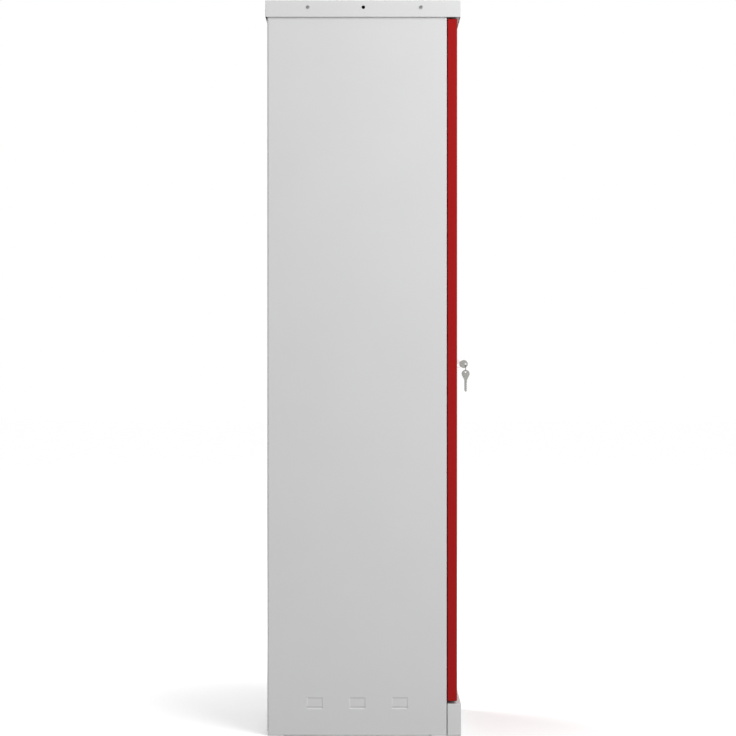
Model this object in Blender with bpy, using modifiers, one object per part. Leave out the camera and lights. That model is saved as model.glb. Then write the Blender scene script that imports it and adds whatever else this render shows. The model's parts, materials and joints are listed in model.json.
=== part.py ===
"""Tall single-door steel storage cabinet with adjustable shelves and a key-operated rod lock.

Metres, +Z up. The door faces -Y, the lock is at -X and the hinge side at +X.
The origin is on the floor, under the middle of the cabinet's overall box.
"""

import math

import bmesh
import bpy
from mathutils import Matrix, Vector

# Sheet metal
SHEET = 0.0010
FOLD_RADIUS = 0.0020
FOLD_STEPS = 2
SEAT_GAP = 0.0003

# Carcass
HEIGHT = 1.9000
BODY_WIDTH = 0.4750
SIDE_DEPTH = 0.4622
FRONT_FLANGE = 0.0250
FRONT_RETURN = 0.0120
REAR_FLANGE = 0.0200
FOOT_FLANGE = 0.0150
RELIEF_WIDTH = 0.0034
RELIEF_HEIGHT = 0.0030
RELIEF_INSET = 0.0410
BACK_RAISE = 0.0120
DECK_DROP = 0.0227
DECK_FLANGE = 0.0250
CURB_HEIGHT = 0.0450
STOP_RETURN = 0.0040
LIP_DROP = 0.0250
NOTCH_CLEARANCE = 0.0010

# Pressed vents low on each side
VENT_COUNT = 3
VENT_PITCH = 0.1100
VENT_WIDTH = 0.0420
VENT_TOP_Z = 0.0992
VENT_BOTTOM_Z = 0.0740
VENT_SLOT = 0.0006
VENT_WALL = 0.0026
VENT_DEPTH = 0.0010
VENT_LIP = 0.0049
VENT_LIP_WALL = 0.0026
VENT_LIP_DEPTH = 0.0012

# Top cap
CAP_HEIGHT = 0.0430
CAP_PROUD = 0.0048
CAP_REAR_OVERHANG = 0.0063
CAP_FRONT_OVERHANG = 0.0085
CAP_SCREW_DROP = 0.0180
CAP_SCREW_REAR = 0.1037
CAP_SCREW_SPACING = 0.2920
CAP_TIE_REAR = 0.2467
CAP_TIE_RADIUS = 0.0046
HEADER_UPSTAND = 0.0300

# Door
DOOR_GAP = 0.0020
DOOR_THICKNESS = 0.0250
DOOR_TOP_GAP = 0.0043
DOOR_BOTTOM_GAP = 0.0070
DOOR_LIP = 0.0180
STIFFENER_WEB = 0.0500
STIFFENER_DEPTH = 0.0200
STIFFENER_FOOT = 0.0150
STIFFENER_END_GAP = 0.0250

# Plinth
PLINTH_HEIGHT = 0.0827
PLINTH_PROUD = 0.0105
PLINTH_GAP = 0.0016
PLINTH_LIP = 0.0120

# Door pivots
PIVOT_FROM_EDGE = 0.0085
PIVOT_FROM_FACE = 0.0080
PIN_RADIUS = 0.0030
PIN_COLLAR_RADIUS = 0.0060
PIN_COLLAR = 0.0040
PIN_REACH = 0.0090
PIN_TAIL = 0.0030
RUNNING_GAP = 0.0001
BUSH_RADIUS = 0.0048
BUSH_FLANGE_RADIUS = 0.0065
BUSH_FLANGE = 0.0016
BUSH_LENGTH = 0.0100

# Shelves and their supports
UPRIGHT_WIDTH = 0.0300
UPRIGHT_DEPTH = 0.0120
UPRIGHT_INSET = 0.0450
UPRIGHT_RAISE = 0.0800
UPRIGHT_TOP_GAP = 0.0400
SLOT_WIDTH = 0.0040
SLOT_HEIGHT = 0.0160
SLOT_PITCH = 0.0500
SLOT_FIRST = 0.0400
SHELF_SLOTS = (6, 13, 20, 27)
SHELF_HEIGHT = 0.0280
SHELF_LIP = 0.0120
SHELF_FRONT_INSET = 0.0220
SHELF_REAR_INSET = 0.0060
CLIP_THICKNESS = 0.0016
CLIP_WIDTH = 0.0200
CLIP_DROP = 0.0100
CLIP_RISE = 0.0100
CLIP_LEDGE = 0.0120
TONGUE_WIDTH = 0.0030
TONGUE_REACH = 0.0040

# Lock
LOCK_FROM_EDGE = 0.0580
LOCK_Z = 0.9610
HEAD_RADIUS = 0.0123
HEAD_PROUD = 0.0080
HEAD_CHAMFER = 0.0012
BARREL_RADIUS = 0.0100
BARREL_LENGTH = 0.0315
NUT_FLATS = 0.0260
NUT_THICKNESS = 0.0050
PLUG_RADIUS = 0.0080
PLUG_RECESS = 0.0004
TAIL_RADIUS = 0.0025
CAM_THICKNESS = 0.0030
CAM_RADIUS = 0.0300
CRANK_RADIUS = 0.0140
CRANK_PIN_RADIUS = 0.0020
CRANK_PIN_LENGTH = 0.0028
CAM_NUT_FLATS = 0.0080
CAM_NUT_THICKNESS = 0.0035
LOCK_TURN = math.radians(90)

# Lock rods
ROD_WIDTH = 0.0080
ROD_THICKNESS = 0.0015
ROD_TIP_GAP = 0.0030
ROD_TIP_CHAMFER = 0.0025
ROD_HEAD_WALL = 0.0026
ROD_SLOT_PLAY = 0.0005
GUIDE_FROM_TIP = 0.0600
GUIDE_WIDTH = 0.0150
GUIDE_FOOT = 0.0250
GUIDE_THICKNESS = 0.0015
GUIDE_BEYOND = 0.0040
GUIDE_PLAY = 0.0004

# Keys and ring
KEY_THICKNESS = 0.0020
KEY_BOW_RADIUS = 0.0104
KEY_BOW_LENGTH = 0.0280
KEY_EXPOSED = 0.0220
KEY_NECK = 0.0112
KEY_HOLE_INSET = 0.0056
KEY_HOLE_RADIUS = 0.0024
KEY_BLADE_LENGTH = 0.0290
KEY_BLADE_WIDTH = 0.0066
KEY_CUT_DEPTH = 0.0012
KEY_CUTS = 4
KEYWAY_PLAY = 0.0003
RING_RADIUS = 0.0088
RING_WIRE_RADIUS = 0.00065

# Cap screws and door buffers
SCREW_HEAD_RADIUS = 0.0043
SCREW_HEAD_HEIGHT = 0.0022
SCREW_SHANK_RADIUS = 0.0020
SCREW_SHANK_LENGTH = 0.0070
SCREW_RECESS_WIDTH = 0.0010
SCREW_RECESS_LENGTH = 0.0046
SCREW_RECESS_DEPTH = 0.0012
BUFFER_RADIUS = 0.0050
BUFFER_STEM_RADIUS = 0.0020
BUFFER_STEM_LENGTH = 0.0040
BUFFER_HEIGHTS = (0.4500, 1.4500)

ROUND_STEPS = 24
SMALL_STEPS = 16
CUT_MARGIN = 0.0050
TINY = 1e-5

# Planes worked out from the sizes above
FRONT_REACH = (DOOR_GAP + DOOR_THICKNESS + HEAD_PROUD + KEY_EXPOSED - KEY_HOLE_INSET
               + KEY_BOW_RADIUS)
REAR_REACH = SIDE_DEPTH + CAP_REAR_OVERHANG
FRAME_Y = (FRONT_REACH - REAR_REACH) / 2
REAR_Y = FRAME_Y + SIDE_DEPTH
DOOR_BACK_Y = FRAME_Y - DOOR_GAP
DOOR_FRONT_Y = DOOR_BACK_Y - DOOR_THICKNESS
PLINTH_REAR_Y = FRAME_Y - PLINTH_GAP
STOP_FRONT_Y = PLINTH_REAR_Y + SEAT_GAP
HALF_WIDTH = BODY_WIDTH / 2
OPENING_HALF = HALF_WIDTH - FRONT_FLANGE - NOTCH_CLEARANCE
SIDE_TOP_Z = HEIGHT - SHEET - SEAT_GAP
CAP_EDGE_Z = HEIGHT - CAP_HEIGHT
CAP_FRONT_Y = DOOR_FRONT_Y - CAP_FRONT_OVERHANG
CAP_SCREW_Z = HEIGHT - CAP_SCREW_DROP
DOOR_BOTTOM_Z = PLINTH_HEIGHT + DOOR_BOTTOM_GAP
DOOR_TOP_Z = CAP_EDGE_Z - DOOR_TOP_GAP
DECK_Z = PLINTH_HEIGHT - DECK_DROP
UPRIGHT_BASE_Z = DECK_Z + UPRIGHT_RAISE
STOP_BOTTOM_Z = CAP_EDGE_Z - LIP_DROP
CURB_TOP_Z = DECK_Z + CURB_HEIGHT + SHEET
PIVOT_X = HALF_WIDTH - PIVOT_FROM_EDGE
PIVOT_Y = DOOR_FRONT_Y + PIVOT_FROM_FACE
LOCK_X = LOCK_FROM_EDGE - HALF_WIDTH
WEB_X = HALF_WIDTH - SHEET - SEAT_GAP - UPRIGHT_DEPTH
SHELF_HALF_WIDTH = WEB_X - 2 * SEAT_GAP - CLIP_THICKNESS

# Depths behind the door's front face, along the lock's axis
CAM_DEPTH = BARREL_LENGTH + SEAT_GAP
ROD_DEPTH = CAM_DEPTH + CAM_THICKNESS + SEAT_GAP
TAIL_DEPTH = CAM_DEPTH + CAM_THICKNESS + CAM_NUT_THICKNESS + SEAT_GAP

# The crank pins swing evenly either side of level, so each rod slides along one vertical line
CRANK_RISE = CRANK_RADIUS * math.sin(LOCK_TURN / 2)
CRANK_NEAR = CRANK_RADIUS * math.cos(LOCK_TURN / 2)
ROD_OFFSET = (CRANK_RADIUS + CRANK_NEAR) / 2
ROD_SLOT_HALF = (CRANK_RADIUS - CRANK_NEAR) / 2 + CRANK_PIN_RADIUS + ROD_SLOT_PLAY
ROD_SLOT_RISE = CRANK_PIN_RADIUS + ROD_SLOT_PLAY

GREY_PAINT = ((0.62, 0.62, 0.62), 0.45, 0.0)
RED_PAINT = ((0.36, 0.015, 0.014), 0.40, 0.0)
ZINC = ((0.55, 0.56, 0.57), 0.35, 1.0)
CHROME = ((0.80, 0.80, 0.80), 0.12, 1.0)
NICKEL = ((0.62, 0.61, 0.58), 0.30, 1.0)
NYLON = ((0.75, 0.74, 0.70), 0.50, 0.0)
RUBBER = ((0.03, 0.03, 0.03), 0.80, 0.0)


def clear_scene():
    for obj in list(bpy.data.objects):
        bpy.data.objects.remove(obj, do_unlink=True)


def new_collection(name, hidden=False):
    collection = bpy.data.collections.new(name)
    collection.hide_render = hidden
    bpy.context.scene.collection.children.link(collection)
    return collection


clear_scene()
PARTS = new_collection("storage_cabinet")
CUTTERS = new_collection("cutters", hidden=True)


def paint(obj, finish):
    """Gives the object a material of its own."""
    colour, roughness, metallic = finish
    material = bpy.data.materials.new(obj.name)
    material.use_nodes = True
    shader = material.node_tree.nodes["Principled BSDF"]
    shader.inputs["Base Color"].default_value = (*colour, 1.0)
    shader.inputs["Roughness"].default_value = roughness
    shader.inputs["Metallic"].default_value = metallic
    obj.data.materials.clear()
    obj.data.materials.append(material)


def empty(name, location, parent=None):
    """An empty at a place in the world, to carry the pieces of one moving body."""
    obj = bpy.data.objects.new(name, None)
    PARTS.objects.link(obj)
    hang(obj, parent, location)
    return obj


def hang(obj, parent, location):
    obj.parent = parent
    obj.location = Vector(location)
    above = parent
    while above:
        obj.location -= above.location
        above = above.parent


def part(name, bm, finish, parent, origin=(0, 0, 0)):
    """A named piece from a mesh drawn in world coordinates, with its origin at a place in the world."""
    mesh = bpy.data.meshes.new(name)
    bm.to_mesh(mesh)
    bm.free()
    mesh.transform(Matrix.Translation(-Vector(origin)))
    obj = bpy.data.objects.new(name, mesh)
    PARTS.objects.link(obj)
    hang(obj, parent, origin)
    paint(obj, finish)
    return obj


def cutter(name, bm):
    mesh = bpy.data.meshes.new(name)
    bm.to_mesh(mesh)
    bm.free()
    obj = bpy.data.objects.new(name, mesh)
    obj.hide_render = True
    obj.display_type = "WIRE"
    CUTTERS.objects.link(obj)
    return obj


def combine(obj, other, operation="DIFFERENCE"):
    modifier = obj.modifiers.new(other.name, "BOOLEAN")
    modifier.object = other
    modifier.operation = operation
    modifier.solver = "EXACT"


def thicken(obj, thickness=SHEET):
    """Turns an open sheet into metal, inwards from its outer face."""
    modifier = obj.modifiers.new("sheet", "SOLIDIFY")
    modifier.thickness = thickness
    modifier.offset = -1
    modifier.use_even_offset = True


def bake(obj):
    """Replaces an object's mesh by its evaluated one, so that copies can share it."""
    bpy.context.view_layer.update()
    graph = bpy.context.evaluated_depsgraph_get()
    mesh = bpy.data.meshes.new_from_object(obj.evaluated_get(graph))
    obj.modifiers.clear()
    obj.data = mesh


def copy_of(obj, name, finish, parent, location, turn_z=0.0):
    """Another named piece that shares the first one's mesh."""
    copy = bpy.data.objects.new(name, obj.data.copy())
    PARTS.objects.link(copy)
    hang(copy, parent, location)
    copy.rotation_euler = (0, 0, turn_z)
    paint(copy, finish)
    return copy


def smooth(obj):
    obj.data.shade_smooth()
    obj.data.set_sharp_from_angle(angle=math.radians(35))


def box(low, high):
    bm = bmesh.new()
    bmesh.ops.create_cube(bm, size=1.0)
    low, high = Vector(low), Vector(high)
    size = high - low
    bmesh.ops.scale(bm, vec=size, verts=bm.verts)
    bmesh.ops.translate(bm, vec=(low + high) / 2, verts=bm.verts)
    return bm


def rod(start, end, radius, steps=ROUND_STEPS):
    """A cylinder between two points."""
    start, end = Vector(start), Vector(end)
    along = end - start
    bm = bmesh.new()
    bmesh.ops.create_cone(bm, cap_ends=True, segments=steps, radius1=radius, radius2=radius,
                          depth=along.length)
    turn = along.to_track_quat("Z", "Y").to_matrix().to_4x4()
    bm.transform(Matrix.Translation((start + end) / 2) @ turn)
    return bm


def join(*meshes):
    """Puts separate bodies into one mesh, for use as a cutter."""
    whole = bmesh.new()
    for bm in meshes:
        mesh = bpy.data.meshes.new("joined")
        bm.to_mesh(mesh)
        bm.free()
        whole.from_mesh(mesh)
        bpy.data.meshes.remove(mesh)
    return whole


def turned(profile, place, steps=ROUND_STEPS, closed=False):
    """A turned shape from (radius, height) points about local Z, moved by a matrix."""
    mesh = bpy.data.meshes.new("profile")
    points = [(r, 0, z) for r, z in profile]
    links = [(i, i + 1) for i in range(len(points) - 1)]
    if closed:
        links.append((len(points) - 1, 0))
    mesh.from_pydata(points, links, [])
    obj = bpy.data.objects.new("profile", mesh)
    CUTTERS.objects.link(obj)
    screw = obj.modifiers.new("turn", "SCREW")
    screw.steps = steps
    screw.render_steps = steps
    screw.use_merge_vertices = True
    screw.merge_threshold = TINY
    bpy.context.view_layer.update()
    graph = bpy.context.evaluated_depsgraph_get()
    bm = bmesh.new()
    bm.from_mesh(obj.evaluated_get(graph).to_mesh())
    bmesh.ops.remove_doubles(bm, verts=bm.verts, dist=TINY)
    bmesh.ops.recalc_face_normals(bm, faces=bm.faces)
    bpy.data.objects.remove(obj, do_unlink=True)
    bm.transform(place)
    return bm


def flat_outline(outlines, thickness, place):
    """A flat plate from closed outlines of (x, y) points; inner outlines are its holes."""
    curve = bpy.data.curves.new("outline", "CURVE")
    curve.dimensions = "2D"
    curve.fill_mode = "BOTH"
    curve.extrude = thickness / 2
    for points in outlines:
        spline = curve.splines.new("POLY")
        spline.points.add(len(points) - 1)
        for point, (x, y) in zip(spline.points, points):
            point.co = (x, y, 0, 1)
        spline.use_cyclic_u = True
    obj = bpy.data.objects.new("outline", curve)
    CUTTERS.objects.link(obj)
    bpy.context.view_layer.update()
    graph = bpy.context.evaluated_depsgraph_get()
    bm = bmesh.new()
    bm.from_mesh(obj.evaluated_get(graph).to_mesh())
    bmesh.ops.remove_doubles(bm, verts=bm.verts, dist=TINY)
    bmesh.ops.recalc_face_normals(bm, faces=bm.faces)
    bpy.data.objects.remove(obj, do_unlink=True)
    bm.transform(place)
    return bm


def arc(centre, radius, start, end, steps):
    """Points along an arc, with its angles in degrees."""
    angles = [math.radians(start + (end - start) * i / steps) for i in range(steps + 1)]
    return [(centre[0] + radius * math.cos(a), centre[1] + radius * math.sin(a)) for a in angles]


def hexagon(flats):
    radius = flats / math.sqrt(3)
    return arc((0, 0), radius, 0, 300, 5)


def circle(radius, steps=ROUND_STEPS):
    return arc((0, 0), radius, 0, 360 - 360 / steps, steps - 1)


def plate(corner, along, up):
    """One flat rectangular face, whose outer side is along x up."""
    bm = bmesh.new()
    bmesh.ops.create_grid(bm, x_segments=1, y_segments=1, size=0.5)
    along, up, corner = Vector(along), Vector(up), Vector(corner)
    normal = along.cross(up).normalized()
    frame = Matrix((along, up, normal)).transposed().to_4x4()
    bm.transform(Matrix.Translation(corner + (along + up) / 2) @ frame)
    return bm


def slice_at(bm, axis, *values):
    """Cuts the mesh with planes across an axis, so that faces and edges end there."""
    normal = Vector((0, 0, 0))
    normal[axis] = 1
    for value in values:
        geometry = bm.verts[:] + bm.edges[:] + bm.faces[:]
        bmesh.ops.bisect_plane(bm, geom=geometry, plane_co=normal * value, plane_no=normal, dist=1e-7)


def faces_in(bm, low, high):
    """The faces whose middles lie in a box."""
    found = []
    for face in bm.faces:
        middle = face.calc_center_median()
        if all(a - TINY < m < b + TINY for a, m, b in zip(low, middle, high)):
            found.append(face)
    return found


def edges_in(bm, low, high):
    """The edges that lie wholly in a box."""
    def inside(co):
        return all(a - TINY < c < b + TINY for a, c, b in zip(low, co, high))
    return [e for e in bm.edges if all(inside(v.co) for v in e.verts)]


def fold(bm, edges, step):
    """Bends a flange off these edges and returns its free edges."""
    made = bmesh.ops.extrude_edge_only(bm, edges=edges)["geom"]
    verts = [g for g in made if isinstance(g, bmesh.types.BMVert)]
    free = [g for g in made if isinstance(g, bmesh.types.BMEdge)]
    bmesh.ops.translate(bm, vec=Vector(step), verts=verts)
    return [e for e in free if all(v in verts for v in e.verts)]


def round_folds(bm, sharper=60):
    """Rounds every bend that is sharper than an angle in degrees."""
    bends = [e for e in bm.edges if len(e.link_faces) == 2
             and e.calc_face_angle(0) > math.radians(sharper)]
    bmesh.ops.bevel(bm, geom=bends, offset=FOLD_RADIUS, offset_type="OFFSET", segments=FOLD_STEPS,
                    profile=0.5, affect="EDGES", clamp_overlap=True)


def face_out(bm, point, normal):
    """Makes all faces agree, with the one nearest a point facing along a normal."""
    bmesh.ops.recalc_face_normals(bm, faces=bm.faces)
    nearest = min(bm.faces, key=lambda f: (f.calc_center_median() - Vector(point)).length)
    if nearest.normal.dot(Vector(normal)) < 0:
        bmesh.ops.reverse_faces(bm, faces=bm.faces)


def open_box(low, high, axis, sign, lip=0.0):
    """A folded box with one open side and an inward lip round the opening."""
    bm = box(low, high)
    normal = Vector((0, 0, 0))
    normal[axis] = sign
    mouth = max(bm.faces, key=lambda f: f.normal.dot(normal))
    if lip:
        bmesh.ops.inset_region(bm, faces=[mouth], thickness=lip, use_even_offset=True)
    bmesh.ops.delete(bm, geom=[mouth], context="FACES_ONLY")
    round_folds(bm)
    return bm


def press_in(bm, faces, wall, step):
    """Presses faces into the sheet behind sloping walls; an open edge stays open."""
    bmesh.ops.inset_region(bm, faces=faces, thickness=wall, use_boundary=False, use_even_offset=True)
    verts = list({v for f in faces for v in f.verts})
    bmesh.ops.translate(bm, vec=(step, 0, 0), verts=verts)


def press_vents(bm, inward):
    """Presses the vents into a side sheet: a shallow pocket above a slot, and a rolled edge below."""
    flap_z = VENT_BOTTOM_Z + VENT_SLOT
    lip_z = VENT_BOTTOM_Z - VENT_LIP
    slice_at(bm, 2, lip_z, VENT_BOTTOM_Z, flap_z, VENT_TOP_Z)
    first = FRAME_Y + SIDE_DEPTH / 2 - VENT_PITCH * (VENT_COUNT - 1) / 2
    for i in range(VENT_COUNT):
        y0 = first + i * VENT_PITCH - VENT_WIDTH / 2
        y1 = y0 + VENT_WIDTH
        slice_at(bm, 1, y0, y1)
        slot = faces_in(bm, (-1, y0, VENT_BOTTOM_Z), (1, y1, flap_z))
        bmesh.ops.delete(bm, geom=slot, context="FACES")
        flap = faces_in(bm, (-1, y0, flap_z), (1, y1, VENT_TOP_Z))
        press_in(bm, flap, VENT_WALL, inward * VENT_DEPTH)
        lip = faces_in(bm, (-1, y0, lip_z), (1, y1, VENT_BOTTOM_Z))
        press_in(bm, lip, VENT_LIP_WALL, inward * VENT_LIP_DEPTH)


def cut_reliefs(bm):
    """Cuts the reliefs beside the bottom flange and returns where the flange starts and ends."""
    start = FRAME_Y + RELIEF_INSET
    end = REAR_Y - RELIEF_INSET
    slice_at(bm, 2, RELIEF_HEIGHT)
    slice_at(bm, 1, start, start + RELIEF_WIDTH, end - RELIEF_WIDTH, end)
    for y in (start, end - RELIEF_WIDTH):
        notch = faces_in(bm, (-1, y, 0), (1, y + RELIEF_WIDTH, RELIEF_HEIGHT))
        bmesh.ops.delete(bm, geom=notch, context="FACES")
    return start + RELIEF_WIDTH, end - RELIEF_WIDTH


def side_panel(name, side, root):
    """A side: one sheet with a channel fold in front, flanges behind and below, and pressed vents."""
    x = side * HALF_WIDTH
    bm = plate((x, FRAME_Y, 0), (0, SIDE_DEPTH, 0), (0, 0, SIDE_TOP_Z))
    start, end = cut_reliefs(bm)
    inner = edges_in(bm, (-1, start, 0), (1, end, 0))
    front = edges_in(bm, (-1, FRAME_Y, 0), (1, FRAME_Y, SIDE_TOP_Z))
    rear = edges_in(bm, (-1, REAR_Y, 0), (1, REAR_Y, SIDE_TOP_Z))
    channel = fold(bm, front, (-side * FRONT_FLANGE, 0, 0))
    fold(bm, channel, (0, FRONT_RETURN, 0))
    fold(bm, rear, (-side * REAR_FLANGE, 0, 0))
    fold(bm, inner, (-side * FOOT_FLANGE, 0, 0))
    round_folds(bm)
    press_vents(bm, -side)
    face_out(bm, (x, FRAME_Y + SIDE_DEPTH / 2, HEIGHT / 2), (side, 0, 0))
    panel = part(name, bm, GREY_PAINT, root)
    thicken(panel)
    return panel


def back_panel(root):
    half = HALF_WIDTH - SHEET
    y = REAR_Y + SEAT_GAP
    bm = box((-half, y, BACK_RAISE), (half, y + SHEET, SIDE_TOP_Z))
    return part("back_panel", bm, GREY_PAINT, root)


def bottom_panel(root):
    """The deck: its front edge turns up as a stop for the door, its other edges turn down."""
    half = HALF_WIDTH - SHEET - SEAT_GAP
    front = STOP_FRONT_Y + SHEET
    rear = REAR_Y - SHEET - SEAT_GAP
    notch = FRAME_Y + FRONT_RETURN + NOTCH_CLEARANCE
    bm = plate((-half, front, DECK_Z), (2 * half, 0, 0), (0, rear - front, 0))
    slice_at(bm, 0, -OPENING_HALF, OPENING_HALF)
    slice_at(bm, 1, notch)
    for low, high in ((-half, -OPENING_HALF), (OPENING_HALF, half)):
        corner = faces_in(bm, (low, front, DECK_Z), (high, notch, DECK_Z))
        bmesh.ops.delete(bm, geom=corner, context="FACES")
    edge = edges_in(bm, (-half, front, DECK_Z), (half, front, DECK_Z))
    skirt = edges_in(bm, (-half, rear, DECK_Z), (half, rear, DECK_Z))
    for x in (-half, half):
        skirt += edges_in(bm, (x, notch, DECK_Z), (x, rear, DECK_Z))
    curb = fold(bm, edge, (0, 0, CURB_HEIGHT))
    fold(bm, curb, (0, STOP_RETURN, 0))
    fold(bm, skirt, (0, 0, -DECK_FLANGE))
    round_folds(bm)
    face_out(bm, (0, FRAME_Y + SIDE_DEPTH / 2, DECK_Z), (0, 0, 1))
    panel = part("bottom_panel", bm, GREY_PAINT, root)
    thicken(panel)
    return panel


def header_rail(root):
    """The rail over the door: a web under the cap, an upstand behind its front and a stop for the door."""
    half = HALF_WIDTH - SEAT_GAP
    front = CAP_FRONT_Y + SHEET + SEAT_GAP
    bm = plate((-half, STOP_FRONT_Y, CAP_EDGE_Z), (2 * half, 0, 0), (0, front - STOP_FRONT_Y, 0))
    slice_at(bm, 0, -OPENING_HALF, OPENING_HALF)
    upstand = edges_in(bm, (-half, front, CAP_EDGE_Z), (half, front, CAP_EDGE_Z))
    edge = edges_in(bm, (-OPENING_HALF, STOP_FRONT_Y, CAP_EDGE_Z), (OPENING_HALF, STOP_FRONT_Y, CAP_EDGE_Z))
    fold(bm, upstand, (0, 0, HEADER_UPSTAND))
    lip = fold(bm, edge, (0, 0, -LIP_DROP))
    fold(bm, lip, (0, STOP_RETURN + SHEET, 0))
    round_folds(bm)
    face_out(bm, (0, (front + STOP_FRONT_Y) / 2, CAP_EDGE_Z), (0, 0, -1))
    rail = part("header_rail", bm, GREY_PAINT, root)
    thicken(rail)
    return rail


def top_cap(root):
    """The cap: an open pan that hangs over the sides, the back and the door."""
    half = HALF_WIDTH + CAP_PROUD
    low = (-half, CAP_FRONT_Y, CAP_EDGE_Z)
    high = (half, REAR_Y + CAP_REAR_OVERHANG, HEIGHT)
    bm = open_box(low, high, 2, -1)
    cap = part("top_cap", bm, GREY_PAINT, root)
    thicken(cap)
    return cap


def front_plinth(root):
    low = (-HALF_WIDTH, DOOR_FRONT_Y - PLINTH_PROUD, 0)
    high = (HALF_WIDTH, PLINTH_REAR_Y, PLINTH_HEIGHT)
    plinth = part("front_plinth", open_box(low, high, 1, 1, PLINTH_LIP), GREY_PAINT, root)
    thicken(plinth)
    return plinth


def cap_screw_places():
    """Where the cap's screws stand: depth along the side, rear one first."""
    rear = REAR_Y - CAP_SCREW_REAR
    return (rear, rear - CAP_SCREW_SPACING)


def drill_cap(cap, sides):
    """Drills the screw holes and the tie hole through the cap's sides and the panels inside them."""
    reach = BODY_WIDTH
    bores = [(y, SCREW_SHANK_RADIUS + SEAT_GAP) for y in cap_screw_places()]
    bores.append((REAR_Y - CAP_TIE_REAR, CAP_TIE_RADIUS))
    holes = [rod((-reach, y, CAP_SCREW_Z), (reach, y, CAP_SCREW_Z), radius, SMALL_STEPS)
             for y, radius in bores]
    tool = cutter("cap_holes", join(*holes))
    for obj in (cap, *sides):
        combine(obj, tool)


def cap_screws(root):
    """Pan-head screws with a cross recess, two on each side of the cap."""
    dome = [(SCREW_HEAD_RADIUS, 0), (SCREW_HEAD_RADIUS, SCREW_HEAD_HEIGHT * 0.5),
            (SCREW_HEAD_RADIUS * 0.75, SCREW_HEAD_HEIGHT * 0.9), (0, SCREW_HEAD_HEIGHT)]
    profile = [(0, -SCREW_SHANK_LENGTH), (SCREW_SHANK_RADIUS, -SCREW_SHANK_LENGTH), (SCREW_SHANK_RADIUS, 0)]
    first = part("cap_screw_1", turned(profile + dome, Matrix(), SMALL_STEPS), ZINC, root)
    floor = SCREW_HEAD_HEIGHT - SCREW_RECESS_DEPTH
    top = SCREW_HEAD_HEIGHT + CUT_MARGIN
    long, thin = SCREW_RECESS_LENGTH / 2, SCREW_RECESS_WIDTH / 2
    for name, a, b in (("recess_a", long, thin), ("recess_b", thin, long)):
        combine(first, cutter(name, box((-a, -b, floor), (a, b, top))))
    bake(first)
    smooth(first)
    seat = HALF_WIDTH + CAP_PROUD + SEAT_GAP
    places = [(side, y) for side in (-1, 1) for y in cap_screw_places()]
    for i, (side, y) in enumerate(places):
        screw = first if i == 0 else copy_of(first, f"cap_screw_{i + 1}", ZINC, root, (0, 0, 0))
        screw.location = (side * seat, y, CAP_SCREW_Z)
        screw.rotation_euler = (0, side * math.pi / 2, 0)


def upright(root):
    """A slotted channel that stands on the side panel's inner face, drawn with its web facing +X."""
    height = CAP_EDGE_Z - UPRIGHT_TOP_GAP - UPRIGHT_BASE_Z
    half = UPRIGHT_WIDTH / 2
    bm = plate((0, -half, 0), (0, UPRIGHT_WIDTH, 0), (0, 0, height))
    slice_at(bm, 1, -SLOT_WIDTH / 2, SLOT_WIDTH / 2)
    z = SLOT_FIRST
    while z + SLOT_HEIGHT < height:
        low, high = z - SLOT_HEIGHT / 2, z + SLOT_HEIGHT / 2
        slice_at(bm, 2, low, high)
        slot = faces_in(bm, (0, -SLOT_WIDTH / 2, low), (0, SLOT_WIDTH / 2, high))
        bmesh.ops.delete(bm, geom=slot, context="FACES")
        z += SLOT_PITCH
    for y in (-half, half):
        fold(bm, edges_in(bm, (0, y, 0), (0, y, height)), (-UPRIGHT_DEPTH, 0, 0))
    round_folds(bm)
    face_out(bm, (0, half / 2, height), (1, 0, 0))
    obj = part("upright_front_left", bm, GREY_PAINT, root)
    thicken(obj)
    bake(obj)
    return obj


def upright_places():
    """Each upright's name, the middle of its web, and whether it faces left."""
    front = FRAME_Y + UPRIGHT_INSET + UPRIGHT_WIDTH / 2
    rear = REAR_Y - UPRIGHT_INSET - UPRIGHT_WIDTH / 2
    return [(f"{place}_{side}", sign * WEB_X, y, sign > 0)
            for side, sign in (("left", -1), ("right", 1))
            for place, y in (("front", front), ("rear", rear))]


def uprights(root):
    first = upright(root)
    for name, x, y, turned_round in upright_places():
        obj = first
        if name != "front_left":
            obj = copy_of(first, f"upright_{name}", GREY_PAINT, root, (0, 0, 0))
        obj.location = (x, y, UPRIGHT_BASE_Z)
        obj.rotation_euler = (0, 0, math.pi if turned_round else 0)


def shelf_clip(root, name):
    """A bent clip: a plate on the upright's web, a tongue through its slot and a ledge for the shelf."""
    half = CLIP_WIDTH / 2
    face = SEAT_GAP + CLIP_THICKNESS
    bm = plate((face, -half, -CLIP_DROP + CLIP_THICKNESS), (0, CLIP_WIDTH, 0),
               (0, 0, CLIP_DROP + CLIP_RISE - CLIP_THICKNESS))
    foot = -CLIP_DROP + CLIP_THICKNESS
    fold(bm, edges_in(bm, (face, -half, foot), (face, half, foot)), (CLIP_LEDGE, 0, 0))
    face_out(bm, (face, 0, CLIP_RISE), (1, 0, 0))
    clip = part(name, bm, ZINC, root)
    thicken(clip, CLIP_THICKNESS)
    tongue_top = min(CLIP_RISE - CLIP_THICKNESS, SLOT_HEIGHT / 2 - SEAT_GAP)
    low = (-TONGUE_REACH, -TONGUE_WIDTH / 2, SEAT_GAP - SLOT_HEIGHT / 2)
    high = (face - CLIP_THICKNESS / 2, TONGUE_WIDTH / 2, tongue_top)
    combine(clip, cutter("clip_tongue", box(low, high)), "UNION")
    bake(clip)
    return clip


def slot_z(index):
    return UPRIGHT_BASE_Z + SLOT_FIRST + index * SLOT_PITCH


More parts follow.
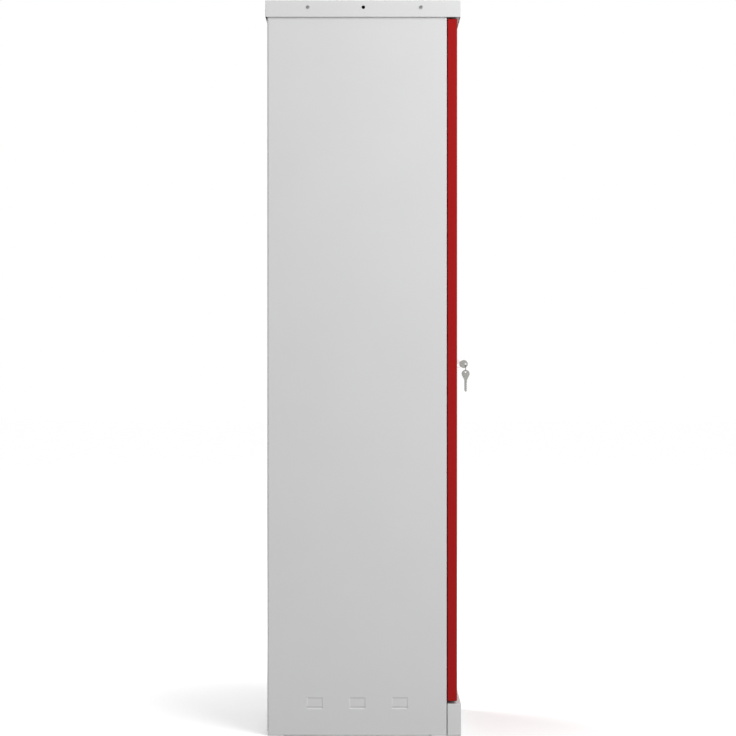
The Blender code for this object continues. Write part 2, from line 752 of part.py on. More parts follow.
def shelves(root):
    """The shelves, each hung on four clips."""
    low = (-SHELF_HALF_WIDTH, FRAME_Y + SHELF_FRONT_INSET, 0)
    high = (SHELF_HALF_WIDTH, REAR_Y - SHEET - SHELF_REAR_INSET, SHELF_HEIGHT)
    first = part("shelf_1", open_box(low, high, 2, -1, SHELF_LIP), GREY_PAINT, root)
    thicken(first)
    bake(first)
    clip = None
    for i, index in enumerate(SHELF_SLOTS):
        z = slot_z(index)
        seat = (0, 0, z - CLIP_DROP + CLIP_THICKNESS + SEAT_GAP)
        if i == 0:
            first.location = seat
        else:
            copy_of(first, f"shelf_{i + 1}", GREY_PAINT, root, seat)
        for place, x, y, turned_round in upright_places():
            name = f"shelf_clip_{i + 1}_{place}"
            turn = math.pi if turned_round else 0
            if clip is None:
                clip = shelf_clip(root, name)
                clip.location = (x, y, z)
            else:
                copy_of(clip, name, ZINC, root, (x, y, z), turn)


def door_panel(door):
    low = (-HALF_WIDTH, DOOR_FRONT_Y, DOOR_BOTTOM_Z)
    high = (HALF_WIDTH, DOOR_BACK_Y, DOOR_TOP_Z)
    panel = part("door_panel", open_box(low, high, 1, 1, DOOR_LIP), RED_PAINT, door, door.location)
    thicken(panel)
    hole = rod((LOCK_X, DOOR_FRONT_Y - CUT_MARGIN, LOCK_Z), (LOCK_X, DOOR_FRONT_Y + CUT_MARGIN, LOCK_Z),
               BARREL_RADIUS + SEAT_GAP)
    sockets = rod((PIVOT_X, PIVOT_Y, DOOR_BOTTOM_Z - CUT_MARGIN),
                  (PIVOT_X, PIVOT_Y, DOOR_TOP_Z + CUT_MARGIN), BUSH_RADIUS + SEAT_GAP)
    combine(panel, cutter("door_holes", join(hole, sockets)))
    return panel


def door_stiffener(door):
    """An upright hat channel behind the door's skin."""
    skin = DOOR_FRONT_Y + SHEET + SEAT_GAP
    back = skin + STIFFENER_DEPTH
    half = STIFFENER_WEB / 2
    low = DOOR_BOTTOM_Z + STIFFENER_END_GAP
    high = DOOR_TOP_Z - STIFFENER_END_GAP
    bm = plate((-half, back, low), (STIFFENER_WEB, 0, 0), (0, 0, high - low))
    for x, side in ((-half, -1), (half, 1)):
        leg = fold(bm, edges_in(bm, (x, back, low), (x, back, high)), (0, SHEET - STIFFENER_DEPTH, 0))
        fold(bm, leg, (side * STIFFENER_FOOT, 0, 0))
    round_folds(bm)
    face_out(bm, (0, back, (low + high) / 2), (0, 1, 0))
    obj = part("door_stiffener", bm, RED_PAINT, door, door.location)
    thicken(obj)
    return obj


def pivots(root, door, plinth, header):
    """The two pivot pins, on the plinth and in the header, and the nylon bushes that turn on them."""
    hole = PIN_RADIUS + SEAT_GAP
    for obj, z in ((plinth, PLINTH_HEIGHT), (header, CAP_EDGE_Z)):
        tool = rod((PIVOT_X, PIVOT_Y, z - CUT_MARGIN), (PIVOT_X, PIVOT_Y, z + CUT_MARGIN), hole)
        combine(obj, cutter(f"{obj.name}_pivot_hole", tool))
    up = Matrix.Translation((PIVOT_X, PIVOT_Y, 0))
    down = Matrix.Rotation(math.pi, 4, "X")
    bush = [(PIN_RADIUS + RUNNING_GAP, 0), (BUSH_FLANGE_RADIUS, 0), (BUSH_FLANGE_RADIUS, BUSH_FLANGE),
            (BUSH_RADIUS, BUSH_FLANGE), (BUSH_RADIUS, BUSH_LENGTH), (PIN_RADIUS + RUNNING_GAP, BUSH_LENGTH)]
    collar = DOOR_BOTTOM_GAP - BUSH_FLANGE - 3 * SEAT_GAP
    tip = collar + PIN_REACH
    lower = [(0, -PIN_TAIL), (PIN_RADIUS, -PIN_TAIL), (PIN_RADIUS, 0), (PIN_COLLAR_RADIUS, 0),
             (PIN_COLLAR_RADIUS, collar), (PIN_RADIUS, collar), (PIN_RADIUS, tip), (0, tip)]
    seat = PLINTH_HEIGHT + SEAT_GAP
    part("lower_pivot_pin", turned(lower, up @ Matrix.Translation((0, 0, seat))), ZINC, root)
    foot = DOOR_BOTTOM_Z - SEAT_GAP - BUSH_FLANGE
    part("lower_pivot_bush", turned(bush, up @ Matrix.Translation((0, 0, foot)), closed=True), NYLON, door,
         door.location)
    reach = DOOR_TOP_GAP + PIN_REACH
    upper = [(0, PIN_COLLAR), (PIN_COLLAR_RADIUS, PIN_COLLAR), (PIN_COLLAR_RADIUS, 0), (PIN_RADIUS, 0),
             (PIN_RADIUS, -reach - SHEET), (0, -reach - SHEET)]
    seat = CAP_EDGE_Z + SHEET + SEAT_GAP
    part("upper_pivot_pin", turned(upper, up @ Matrix.Translation((0, 0, seat))), ZINC, root)
    crown = DOOR_TOP_Z + SEAT_GAP + BUSH_FLANGE
    part("upper_pivot_bush", turned(bush, up @ Matrix.Translation((0, 0, crown)) @ down, closed=True), NYLON,
         door, door.location)


def door_buffers(root, panel):
    """Rubber buffers plugged into the front fold on the lock side."""
    height = DOOR_GAP - 2 * SEAT_GAP
    stem = [(0, -BUFFER_STEM_LENGTH), (BUFFER_STEM_RADIUS, -BUFFER_STEM_LENGTH), (BUFFER_STEM_RADIUS, 0)]
    head = [(BUFFER_RADIUS, 0), (BUFFER_RADIUS, height / 2), (BUFFER_RADIUS - height / 2, height),
            (0, height)]
    x = FRONT_FLANGE / 2 - HALF_WIDTH
    outward = Matrix.Rotation(math.pi / 2, 4, "X")
    holes = []
    for i, z in enumerate(BUFFER_HEIGHTS):
        place = Matrix.Translation((x, FRAME_Y - SEAT_GAP, z)) @ outward
        part(f"door_buffer_{i + 1}", turned(stem + head, place, SMALL_STEPS), RUBBER, root)
        holes.append(rod((x, FRAME_Y - CUT_MARGIN, z), (x, FRAME_Y + CUT_MARGIN, z),
                         BUFFER_STEM_RADIUS + SEAT_GAP, SMALL_STEPS))
    combine(panel, cutter("buffer_holes", join(*holes)))


def along_lock(depth=0.0):
    """Places a shape drawn about Z on the lock's axis, with +Z out of the door."""
    place = Matrix.Translation((LOCK_X, DOOR_FRONT_Y + depth, LOCK_Z))
    return place @ Matrix.Rotation(math.pi / 2, 4, "X")


def lock_body(door):
    bore = PLUG_RADIUS + RUNNING_GAP
    profile = [(bore, HEAD_PROUD), (HEAD_RADIUS - HEAD_CHAMFER, HEAD_PROUD),
               (HEAD_RADIUS, HEAD_PROUD - HEAD_CHAMFER), (HEAD_RADIUS, SEAT_GAP), (BARREL_RADIUS, SEAT_GAP),
               (BARREL_RADIUS, -BARREL_LENGTH), (bore, -BARREL_LENGTH)]
    body = part("lock_body", turned(profile, along_lock(), closed=True), CHROME, door, door.location)
    smooth(body)
    holes = [hexagon(NUT_FLATS), circle(BARREL_RADIUS + SEAT_GAP)]
    seat = SHEET + SEAT_GAP + NUT_THICKNESS / 2
    part("lock_nut", flat_outline(holes, NUT_THICKNESS, along_lock(seat)), ZINC, door, door.location)


def lock_plug(lock):
    """The turning plug, with its keyway and the threaded tail that carries the cam."""
    face = HEAD_PROUD - PLUG_RECESS
    profile = [(0, face), (PLUG_RADIUS, face), (PLUG_RADIUS, -BARREL_LENGTH), (TAIL_RADIUS, -BARREL_LENGTH),
               (TAIL_RADIUS, -TAIL_DEPTH), (0, -TAIL_DEPTH)]
    plug = part("lock_plug", turned(profile, along_lock()), NICKEL, lock, lock.location)
    half = KEY_THICKNESS / 2 + KEYWAY_PLAY
    start = DOOR_FRONT_Y - HEAD_PROUD
    mouth = start + KEY_BOW_LENGTH - KEY_EXPOSED + KEYWAY_PLAY
    for name, width, end in (("keyway_mouth", KEY_NECK, mouth),
                             ("keyway", KEY_BLADE_WIDTH, mouth + KEY_BLADE_LENGTH)):
        rise = width / 2 + KEYWAY_PLAY
        combine(plug, cutter(name, box((LOCK_X - half, start - CUT_MARGIN, LOCK_Z - rise),
                                       (LOCK_X + half, end, LOCK_Z + rise))))
    bake(plug)
    smooth(plug)


def lock_cam(lock):
    """The cam: a disc with two crank pins, set so that the pins swing evenly about level."""
    outlines = [circle(CAM_RADIUS), circle(TAIL_RADIUS + SEAT_GAP, SMALL_STEPS)]
    middle = CAM_DEPTH + CAM_THICKNESS / 2
    bm = flat_outline(outlines, CAM_THICKNESS, along_lock(middle))
    cam = part("lock_cam", bm, ZINC, lock, lock.location)
    pins = []
    for sign in (-1, 1):
        x = LOCK_X + sign * CRANK_NEAR
        z = LOCK_Z + sign * CRANK_RISE
        start = DOOR_FRONT_Y + middle
        end = DOOR_FRONT_Y + CAM_DEPTH + CAM_THICKNESS + CRANK_PIN_LENGTH
        pins.append(rod((x, start, z), (x, end, z), CRANK_PIN_RADIUS, SMALL_STEPS))
    combine(cam, cutter("crank_pins", join(*pins)), "UNION")
    bake(cam)
    outlines = [hexagon(CAM_NUT_FLATS), circle(TAIL_RADIUS + SEAT_GAP, SMALL_STEPS)]
    seat = CAM_DEPTH + CAM_THICKNESS + SEAT_GAP + CAM_NUT_THICKNESS / 2
    part("cam_nut", flat_outline(outlines, CAM_NUT_THICKNESS, along_lock(seat)), ZINC, lock, lock.location)


def rod_outline(length):
    """A lock rod drawn with its crank slot at the origin and its tip up; the slot is its second outline."""
    half = ROD_WIDTH / 2
    head = ROD_SLOT_HALF + ROD_HEAD_WALL
    rise = ROD_SLOT_RISE + ROD_HEAD_WALL
    outer = [(-head, -rise), (head, -rise), (head, rise), (half, rise + head - half),
             (half, length - ROD_TIP_CHAMFER), (half - ROD_TIP_CHAMFER, length),
             (ROD_TIP_CHAMFER - half, length), (-half, length - ROD_TIP_CHAMFER),
             (-half, rise + head - half), (-head, rise)]
    straight = ROD_SLOT_HALF - ROD_SLOT_RISE
    slot = arc((straight, 0), ROD_SLOT_RISE, -90, 90, 6) + arc((-straight, 0), ROD_SLOT_RISE, 90, 270, 6)
    return [outer, slot]


def lock_rods(door):
    """The rods that the cam drives: up behind the header's stop and down behind the deck's curb."""
    tips = {"upper": STOP_BOTTOM_Z - SHEET - ROD_TIP_GAP, "lower": CURB_TOP_Z + ROD_TIP_GAP}
    for name, sign in (("upper", 1), ("lower", -1)):
        slot = Vector((LOCK_X - sign * ROD_OFFSET, DOOR_FRONT_Y + ROD_DEPTH + ROD_THICKNESS / 2,
                       LOCK_Z - sign * CRANK_RISE))
        length = abs(tips[name] - slot.z)
        turn = Matrix.Rotation(math.pi / 2, 4, "X") @ Matrix.Rotation(0 if sign > 0 else math.pi, 4, "Z")
        slide = empty(f"{name}_rod_slide", slot, door)
        bm = flat_outline(rod_outline(length), ROD_THICKNESS, Matrix.Translation(slot) @ turn)
        part(f"{name}_rod", bm, ZINC, slide, slot)
        rod_guide(f"{name}_rod_guide", door, slot.x, tips[name] - sign * GUIDE_FROM_TIP)


def rod_guide(name, door, x, z):
    """A bracket on the door's skin with a slot that a rod slides through."""
    skin = DOOR_FRONT_Y + SHEET + SEAT_GAP
    half = GUIDE_WIDTH / 2
    reach = ROD_DEPTH - SHEET + ROD_THICKNESS + GUIDE_BEYOND
    bm = plate((x - half, skin, z), (GUIDE_WIDTH, 0, 0), (0, reach, 0))
    near = DOOR_FRONT_Y + ROD_DEPTH - GUIDE_PLAY
    far = near + ROD_THICKNESS + 2 * GUIDE_PLAY
    side = ROD_WIDTH / 2 + GUIDE_PLAY
    slice_at(bm, 0, x - side, x + side)
    slice_at(bm, 1, near, far)
    bmesh.ops.delete(bm, geom=faces_in(bm, (x - side, near, z), (x + side, far, z)), context="FACES")
    fold(bm, edges_in(bm, (x - half, skin, z), (x + half, skin, z)), (0, 0, -GUIDE_FOOT))
    face_out(bm, (x, skin + reach, z), (0, 0, 1))
    guide = part(name, bm, ZINC, door, door.location)
    thicken(guide, GUIDE_THICKNESS)


def key_outline():
    """A key drawn with its ring hole at the origin and its blade down; the hole is its second outline."""
    top = KEY_HOLE_INSET
    centre = (0, top - KEY_BOW_RADIUS)
    shoulder = top - KEY_BOW_LENGTH
    tip = shoulder - KEY_BLADE_LENGTH
    half = KEY_BLADE_WIDTH / 2
    bow = arc(centre, KEY_BOW_RADIUS, -28, 208, 22)
    neck = top - KEY_EXPOSED
    bend = (neck + 2 * shoulder) / 3
    waist = (KEY_NECK + 3 * KEY_BLADE_WIDTH) / 8
    right = [(half, tip + half), (half, shoulder), (waist, bend), (KEY_NECK / 2, neck)]
    left = [(-KEY_NECK / 2, neck), (-waist, bend), (-half, shoulder)]
    run = KEY_BLADE_LENGTH * 0.7
    pitch = run / (2 * KEY_CUTS)
    start = tip + half + run
    for i in range(2 * KEY_CUTS):
        depth = KEY_CUT_DEPTH if i % 2 else 0
        left.append((depth - half, start - i * pitch))
    left.append((-half, tip + half))
    point = [(-half / 3, tip), (half / 3, tip)]
    return [bow + left + point + right, circle(KEY_HOLE_RADIUS, SMALL_STEPS)]


def keys(lock):
    """The key in the lock, the ring through its bow and the spare key that hangs on the ring."""
    hole_y = DOOR_FRONT_Y - HEAD_PROUD - KEY_EXPOSED + KEY_HOLE_INSET
    upright_key = Matrix.Rotation(math.pi / 2, 4, "Z") @ Matrix.Rotation(math.pi / 2, 4, "X")
    inserted = Matrix.Translation((LOCK_X, hole_y, LOCK_Z)) @ Matrix.Rotation(math.pi / 2, 4, "X")
    bm = flat_outline(key_outline(), KEY_THICKNESS, inserted @ upright_key)
    part("key", bm, NICKEL, lock, lock.location)
    rest = KEY_HOLE_RADIUS - RING_WIRE_RADIUS - SEAT_GAP
    top = Vector((LOCK_X, hole_y, LOCK_Z - rest))
    centre = top - Vector((0, 0, RING_RADIUS))
    swing = empty("ring_swing", top, lock)
    bpy.ops.mesh.primitive_torus_add(major_radius=RING_RADIUS, minor_radius=RING_WIRE_RADIUS,
                                     major_segments=32, minor_segments=8)
    torus = bpy.context.object
    bm = bmesh.new()
    bm.from_mesh(torus.data)
    bpy.data.objects.remove(torus, do_unlink=True)
    bm.transform(Matrix.Translation(centre) @ Matrix.Rotation(math.pi / 2, 4, "X"))
    smooth(part("key_ring", bm, NICKEL, swing, top))
    slide = empty("spare_key_slide", centre, swing)
    hang_point = Matrix.Translation(centre - Vector((0, 0, RING_RADIUS + rest)))
    bm = flat_outline(key_outline(), KEY_THICKNESS, hang_point @ upright_key)
    part("spare_key", bm, NICKEL, slide, centre)


def build():
    root = empty("cabinet", (0, 0, 0))
    sides = (side_panel("left_side_panel", -1, root), side_panel("right_side_panel", 1, root))
    back_panel(root)
    bottom_panel(root)
    header = header_rail(root)
    cap = top_cap(root)
    plinth = front_plinth(root)
    drill_cap(cap, sides)
    cap_screws(root)
    uprights(root)
    shelves(root)
    door = empty("door_pivot", (PIVOT_X, PIVOT_Y, 0), root)
    door_panel(door)
    door_stiffener(door)
    pivots(root, door, plinth, header)
    door_buffers(root, sides[0])
    lock_body(door)
    lock = empty("lock_axis", (LOCK_X, DOOR_FRONT_Y, LOCK_Z), door)
    lock_plug(lock)
    lock_cam(lock)
    lock_rods(door)
    keys(lock)


build()
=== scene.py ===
"""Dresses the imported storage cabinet: finishes, eased edges, studio and camera."""

import json
import math

import bpy
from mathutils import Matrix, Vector


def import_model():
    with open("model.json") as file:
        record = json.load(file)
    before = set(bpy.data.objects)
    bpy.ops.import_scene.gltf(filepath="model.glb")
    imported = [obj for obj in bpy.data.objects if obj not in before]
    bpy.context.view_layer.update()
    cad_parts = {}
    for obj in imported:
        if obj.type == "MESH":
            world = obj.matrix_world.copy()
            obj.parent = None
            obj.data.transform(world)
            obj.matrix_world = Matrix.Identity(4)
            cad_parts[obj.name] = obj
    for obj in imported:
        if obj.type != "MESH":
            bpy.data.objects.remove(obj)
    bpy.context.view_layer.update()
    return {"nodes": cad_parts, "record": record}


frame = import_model()
SLOT_OF = {entry["node"]: entry["material_slot"] for entry in frame["record"]["subparts"]}

# Base colours, linear
GREY = (0.595, 0.595, 0.598)
RED = (0.313, 0.0085, 0.0080)
ZINC = (0.44, 0.45, 0.47)
STEEL = (0.27, 0.27, 0.275)
CHROME = (0.78, 0.78, 0.79)
NICKEL = (0.37, 0.37, 0.35)
NYLON = (0.72, 0.70, 0.64)
RUBBER = (0.020, 0.020, 0.021)

# Noises: features per metre and detail; the band holds most of a noise's values
NOISE_BAND = (0.3, 0.7)
COAT_DRIFT = (5.0, 2.0)
COAT_FLECK = (2600.0, 2.0)
COAT_SHEEN = (900.0, 3.0)
COAT_PEEL = (700.0, 2.0)
COAT_RIPPLE = (4.0, 1.0)
METAL_CLOUD = (160.0, 4.0)
METAL_GRAIN = (1500.0, 3.0)
MOULD_CLOUD = (90.0, 2.0)
NYLON_GRAIN = (1800.0, 4.0)
RUBBER_GRAIN = (1400.0, 4.0)

# Bumps: depth in metres and strength
PEEL_BUMP = (0.00006, 0.6)
RIPPLE_BUMP = (0.0010, 0.25)
METAL_BUMP = (0.00002, 0.5)
NYLON_BUMP = (0.00003, 0.6)
RUBBER_BUMP = (0.00005, 0.6)

# Tones, as shares of the base colour
FLECK_TONE = 0.93
FLECK_COVER = 0.25
METAL_TONES = (0.88, 1.06)
POLISHED_TONE = 1.15
POLISHED_BAND = (0.52, 0.62)  # pointiness of the surface
MOULD_TONES = (0.92, 1.06)

# How far the roughness strays either way
COAT_STRAY = 0.05
MOULD_STRAY = 0.08

# Edges: angles in degrees, lengths in metres
CRISP_ANGLE = 50
SHALLOW_ANGLE = 12
VENT_ZONE = ((0.0, 0.0278, 0.0842), (1.0, 0.1340, 0.0165))  # centre and half size
WELD_DISTANCE = 0.000005
EASE_SEGMENTS = 2
FACE_AREA_WEIGHT = 100
EASED = {
    "grey_paint": 0.00025,
    "red_paint": 0.00025,
    "zinc": 0.00020,
    "chrome": 0.00030,
    "nickel": 0.00020,
    "nylon": 0.00025,
    "rubber": 0.00030,
}

# Floor: just below the object's feet; its glow grows between two distances from the object
FLOOR_SIZE = 60.0
FLOOR_CELLS = 8
FLOOR_Z = -0.0004
FLOOR_PALE = 0.90
FLOOR_BOUNCE = 0.20
GLOW_DISTANCES = (0.4, 1.8)
GLOW_NEAR = 0.14
GLOW_FAR = 0.50

# Light: place, target, power in watts, and whether metal mirrors the lamp
WHITE = (1.0, 1.0, 1.0, 1.0)
WORLD_LEVEL = 0.55
LAMP_SIZE = 2.6
LAMPS = {
    "key": ((-2.35, -1.9, 3.0), (-0.2, 0.0, 1.0), 93.0, False),
    "fill": ((-5.3, -2.6, 1.15), (-0.2, 0.0, 1.0), 96.0, False),
    "rim": ((2.4, 3.4, 3.2), (0.2, 0.2, 1.0), 110.0, True),
}

# Camera: square to the left side and tilted down by a quarter of a degree
SENSOR_WIDTH = 36.0
LENS = 113.584
EYE = (-6.2375, 0.0, 0.976)
EYE_PITCH = 89.761
EYE_HEADING = -90


def tone(colour, factor):
    return tuple(min(1.0, c * factor) for c in colour) + (1.0,)


def map_range(tree, value, band, low=0.0, high=1.0):
    """A node that maps the values of a band to those from low to high."""
    node = tree.nodes.new("ShaderNodeMapRange")
    node.inputs["From Min"].default_value, node.inputs["From Max"].default_value = band
    node.inputs["To Min"].default_value = low
    node.inputs["To Max"].default_value = high
    tree.links.new(value, node.inputs["Value"])
    return node


class Shader:
    """A Principled material and short calls for the nodes that feed it."""

    def __init__(self, name, metallic=0.0):
        self.material = bpy.data.materials.new(name)
        self.material.use_nodes = True
        self.tree = self.material.node_tree
        self.nodes = self.tree.nodes
        self.links = self.tree.links
        self.bsdf = self.nodes["Principled BSDF"]
        self.set("Metallic", metallic)
        self.coords = self.nodes.new("ShaderNodeTexCoord").outputs["Object"]

    def set(self, socket, value):
        self.bsdf.inputs[socket].default_value = value

    def feed(self, socket, output):
        self.links.new(output, self.bsdf.inputs[socket])

    def noise(self, scale, detail):
        """Noise in object space."""
        node = self.nodes.new("ShaderNodeTexNoise")
        node.inputs["Scale"].default_value = scale
        node.inputs["Detail"].default_value = detail
        self.links.new(self.coords, node.inputs["Vector"])
        return node.outputs["Fac"]

    def ramp(self, noise, low, high):
        """A colour between two others."""
        node = self.nodes.new("ShaderNodeValToRGB")
        for element, position, colour in zip(node.color_ramp.elements, NOISE_BAND, (low, high)):
            element.position = position
            element.color = colour
        self.links.new(noise, node.inputs["Fac"])
        return node.outputs["Color"]

    def range(self, noise, low, high):
        """A number between two others."""
        return map_range(self.tree, noise, NOISE_BAND, low, high).outputs["Result"]

    def cover(self, factor, base, colour):
        """Lays a plain colour over another by a factor."""
        node = self.nodes.new("ShaderNodeMix")
        node.data_type = "RGBA"
        self.links.new(factor, node.inputs["Factor"])
        self.links.new(base, node.inputs["A"])
        node.inputs["B"].default_value = colour
        return node.outputs["Result"]

    def raised_edges(self):
        """A mask of raised edges, from how pointed the surface is."""
        pointed = self.nodes.new("ShaderNodeNewGeometry").outputs["Pointiness"]
        return map_range(self.tree, pointed, POLISHED_BAND).outputs["Result"]

    def bump(self, height, depth, strength, below=None):
        node = self.nodes.new("ShaderNodeBump")
        node.inputs["Distance"].default_value = depth
        node.inputs["Strength"].default_value = strength
        self.links.new(height, node.inputs["Height"])
        if below:
            self.links.new(below, node.inputs["Normal"])
        return node.outputs["Normal"]


def powder_coat(name, colour, drift, roughness, gloss):
    """Satin powder coat: slow drift of tone, fine orange peel and a faint ripple of the sheet."""
    s = Shader(name)
    base = s.ramp(s.noise(*COAT_DRIFT), tone(colour, 1 - drift), tone(colour, 1 + drift))
    fleck = s.range(s.noise(*COAT_FLECK), 0.0, FLECK_COVER)
    s.feed("Base Color", s.cover(fleck, base, tone(colour, FLECK_TONE)))
    sheen = s.noise(*COAT_SHEEN)
    s.feed("Roughness", s.range(sheen, roughness - COAT_STRAY, roughness + COAT_STRAY))
    peel = s.bump(s.noise(*COAT_PEEL), *PEEL_BUMP)
    s.feed("Normal", s.bump(s.noise(*COAT_RIPPLE), *RIPPLE_BUMP, below=peel))
    s.set("Specular IOR Level", gloss)
    return s.material


def plated(name, colour, roughness, stray):
    """Plated or bare metal with a fine grain, cloudy tone and slightly polished edges."""
    s = Shader(name, metallic=1.0)
    grain = s.noise(*METAL_GRAIN)
    base = s.ramp(s.noise(*METAL_CLOUD), *(tone(colour, factor) for factor in METAL_TONES))
    s.feed("Base Color", s.cover(s.raised_edges(), base, tone(colour, POLISHED_TONE)))
    s.feed("Roughness", s.range(grain, roughness - stray, roughness + stray))
    s.feed("Normal", s.bump(grain, *METAL_BUMP))
    return s.material


def moulded(name, colour, roughness, grain_noise, grain_bump):
    """Moulded plastic or rubber with a fine matt texture."""
    s = Shader(name)
    grain = s.noise(*grain_noise)
    base = s.ramp(s.noise(*MOULD_CLOUD), *(tone(colour, factor) for factor in MOULD_TONES))
    s.feed("Base Color", base)
    s.feed("Roughness", s.range(grain, roughness - MOULD_STRAY, roughness + MOULD_STRAY))
    s.feed("Normal", s.bump(grain, *grain_bump))
    return s.material


FINISHES = {
    "grey_paint": powder_coat("grey_powder_coat", GREY, drift=0.010, roughness=0.46, gloss=0.30),
    "red_paint": powder_coat("red_powder_coat", RED, drift=0.020, roughness=0.42, gloss=0.10),
    "zinc": plated("zinc_plate", ZINC, roughness=0.34, stray=0.07),
    "steel": plated("screw_steel", STEEL, roughness=0.38, stray=0.06),
    "chrome": plated("chrome_plate", CHROME, roughness=0.10, stray=0.03),
    "nickel": plated("nickel_plate", NICKEL, roughness=0.30, stray=0.06),
    "nylon": moulded("natural_nylon", NYLON, 0.50, NYLON_GRAIN, NYLON_BUMP),
    "rubber": moulded("black_rubber", RUBBER, 0.75, RUBBER_GRAIN, RUBBER_BUMP),
}


def sharper_than(group, degrees):
    """Whether the faces at an edge meet at more than an angle."""
    angle = group.nodes.new("GeometryNodeInputMeshEdgeAngle")
    sharp = group.nodes.new("FunctionNodeCompare")
    sharp.inputs["B"].default_value = math.radians(degrees)
    group.links.new(angle.outputs["Unsigned Angle"], sharp.inputs["A"])
    return sharp.outputs["Result"]


def inside(group, centre, half):
    """Whether an edge's middle lies in a box."""
    position = group.nodes.new("GeometryNodeInputPosition")
    offset = group.nodes.new("ShaderNodeVectorMath")
    offset.operation = "SUBTRACT"
    offset.inputs[1].default_value = centre
    distance = group.nodes.new("ShaderNodeVectorMath")
    distance.operation = "ABSOLUTE"
    near = group.nodes.new("FunctionNodeCompare")
    near.data_type = "VECTOR"
    near.mode = "ELEMENT"
    near.operation = "LESS_THAN"
    near.inputs["B"].default_value = half
    group.links.new(position.outputs["Position"], offset.inputs[0])
    group.links.new(offset.outputs["Vector"], distance.inputs[0])
    group.links.new(distance.outputs["Vector"], near.inputs["A"])
    return near.outputs["Result"]


def logic(group, operation, first, second):
    node = group.nodes.new("FunctionNodeBooleanMath")
    node.operation = operation
    group.links.new(first, node.inputs[0])
    group.links.new(second, node.inputs[1])
    return node.outputs[0]


def shading_group(name, zone=None):
    """Smooth shading that stays crisp at real corners, and at shallow ones inside a zone."""
    group = bpy.data.node_groups.new(name, "GeometryNodeTree")
    for direction in ("INPUT", "OUTPUT"):
        group.interface.new_socket("Geometry", in_out=direction, socket_type="NodeSocketGeometry")
    start = group.nodes.new("NodeGroupInput")
    end = group.nodes.new("NodeGroupOutput")
    faces = group.nodes.new("GeometryNodeSetShadeSmooth")
    edges = group.nodes.new("GeometryNodeSetShadeSmooth")
    edges.domain = "EDGE"
    edges.inputs["Shade Smooth"].default_value = False
    crisp = sharper_than(group, CRISP_ANGLE)
    if zone:
        shallow = logic(group, "AND", sharper_than(group, SHALLOW_ANGLE), inside(group, *zone))
        crisp = logic(group, "OR", crisp, shallow)
    group.links.new(crisp, edges.inputs["Selection"])
    group.links.new(start.outputs["Geometry"], faces.inputs["Geometry"])
    group.links.new(faces.outputs["Geometry"], edges.inputs["Geometry"])
    group.links.new(edges.outputs["Geometry"], end.inputs["Geometry"])
    return group


SMOOTH = shading_group("smooth_by_angle")
SMOOTH_VENTED = shading_group("smooth_round_vents", VENT_ZONE)


def ease_edges(obj, width, shading):
    """Rounds sharp edges by a hair, so that they catch the light."""
    weld = obj.modifiers.new("weld", "WELD")
    weld.merge_threshold = WELD_DISTANCE
    if width:
        bevel = obj.modifiers.new("ease", "BEVEL")
        bevel.width = width
        bevel.segments = EASE_SEGMENTS
        bevel.limit_method = "ANGLE"
        bevel.angle_limit = math.radians(CRISP_ANGLE)
        bevel.use_clamp_overlap = True
    smooth = obj.modifiers.new("shade", "NODES")
    smooth.node_group = shading
    flat = obj.modifiers.new("flat", "WEIGHTED_NORMAL")
    flat.weight = FACE_AREA_WEIGHT
    flat.keep_sharp = True


def dress(name, obj):
    """Gives a piece its finish and eases its edges; the slotted uprights keep theirs sharp."""
    slot = SLOT_OF[name]
    obj.data.materials.clear()
    obj.data.materials.append(FINISHES["steel" if name.startswith("cap_screw") else slot])
    slotted = name.startswith("upright")
    vented = name.endswith("side_panel")
    ease_edges(obj, 0 if slotted else EASED[slot], SMOOTH_VENTED if vented else SMOOTH)


def seen(tree, shown, rest=0.0):
    """One value for rays from the camera, a mirror or glass, and another for the rest."""
    path = tree.nodes.new("ShaderNodeLightPath")
    total = path.outputs["Is Camera Ray"]
    for name in ("Is Glossy Ray", "Is Transmission Ray"):
        either = tree.nodes.new("ShaderNodeMath")
        either.operation = "MAXIMUM"
        tree.links.new(total, either.inputs[0])
        tree.links.new(path.outputs[name], either.inputs[1])
        total = either.outputs[0]
    scale = tree.nodes.new("ShaderNodeMath")
    scale.operation = "MULTIPLY_ADD"
    scale.inputs[1].default_value = shown - rest
    scale.inputs[2].default_value = rest
    tree.links.new(total, scale.inputs[0])
    return scale.outputs[0]


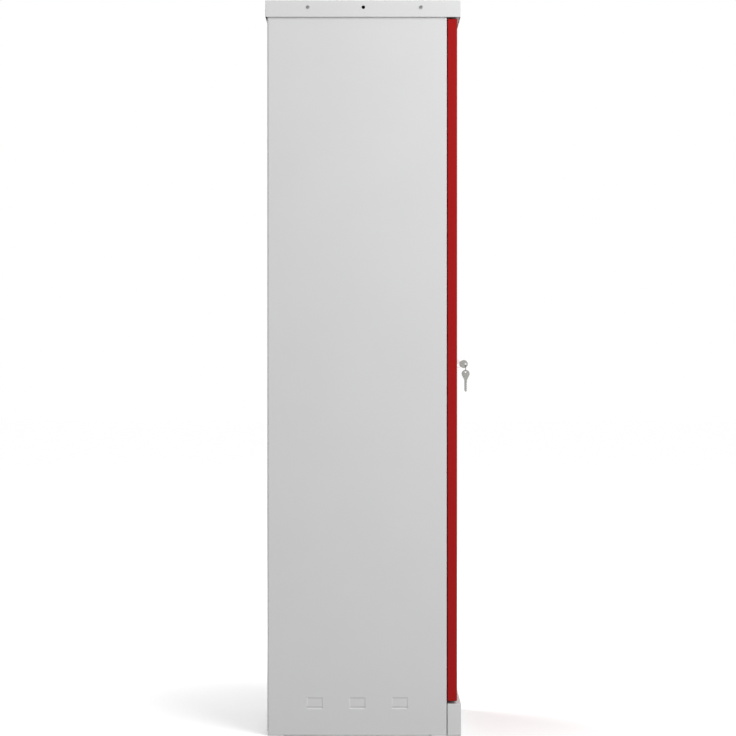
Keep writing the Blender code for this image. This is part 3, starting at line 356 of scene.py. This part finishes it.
def floor_shader(name):
    """A floor that is pale to the eye and in metal and throws little light back.

    Its glow is weak near the object, whose shadow stays on it.
    """
    material = bpy.data.materials.new(name)
    material.use_nodes = True
    tree = material.node_tree
    nodes, links = tree.nodes, tree.links
    nodes.clear()
    diffuse = nodes.new("ShaderNodeBsdfDiffuse")
    links.new(seen(tree, FLOOR_PALE, FLOOR_BOUNCE), diffuse.inputs["Color"])
    away = nodes.new("ShaderNodeVectorMath")
    away.operation = "LENGTH"
    links.new(nodes.new("ShaderNodeTexCoord").outputs["Object"], away.inputs[0])
    glow = map_range(tree, away.outputs["Value"], GLOW_DISTANCES, GLOW_NEAR, GLOW_FAR)
    glow.interpolation_type = "SMOOTHSTEP"
    light = nodes.new("ShaderNodeEmission")
    links.new(glow.outputs["Result"], light.inputs["Color"])
    links.new(seen(tree, 1.0), light.inputs["Strength"])
    both = nodes.new("ShaderNodeAddShader")
    links.new(diffuse.outputs[0], both.inputs[0])
    links.new(light.outputs[0], both.inputs[1])
    links.new(both.outputs[0], nodes.new("ShaderNodeOutputMaterial").inputs["Surface"])
    return material


def floor():
    bpy.ops.mesh.primitive_grid_add(
        x_subdivisions=FLOOR_CELLS, y_subdivisions=FLOOR_CELLS, size=FLOOR_SIZE)
    obj = bpy.context.object
    obj.name = "studio_floor"
    obj.location.z = FLOOR_Z
    obj.data.materials.append(floor_shader("studio_floor"))


def world():
    """Even light from all round, and white where the camera or a mirror looks past the object."""
    scene = bpy.context.scene
    scene.world = bpy.data.worlds.new("studio")
    scene.world.use_nodes = True
    tree = scene.world.node_tree
    background = tree.nodes["Background"]
    background.inputs["Color"].default_value = WHITE
    tree.links.new(seen(tree, 1.0, WORLD_LEVEL), background.inputs["Strength"])


def area_light(name, place, target, power, mirrored):
    data = bpy.data.lights.new(name, "AREA")
    data.shape = "DISK"
    data.size = LAMP_SIZE
    data.energy = power
    obj = bpy.data.objects.new(name, data)
    bpy.context.scene.collection.objects.link(obj)
    obj.location = place
    obj.rotation_euler = (Vector(target) - Vector(place)).to_track_quat("-Z", "Y").to_euler()
    obj.visible_camera = False
    obj.visible_glossy = mirrored


def camera():
    data = bpy.data.cameras.new("photo_view")
    data.sensor_width = SENSOR_WIDTH
    data.lens = LENS
    obj = bpy.data.objects.new("photo_view", data)
    bpy.context.scene.collection.objects.link(obj)
    obj.location = EYE
    obj.rotation_euler = (math.radians(EYE_PITCH), 0, math.radians(EYE_HEADING))
    bpy.context.scene.camera = obj


for node_name, node_object in frame["nodes"].items():
    dress(node_name, node_object)

floor()
world()
for lamp_name, lamp in LAMPS.items():
    area_light(lamp_name, *lamp)
camera()
bpy.context.scene.view_settings.view_transform = "Standard"
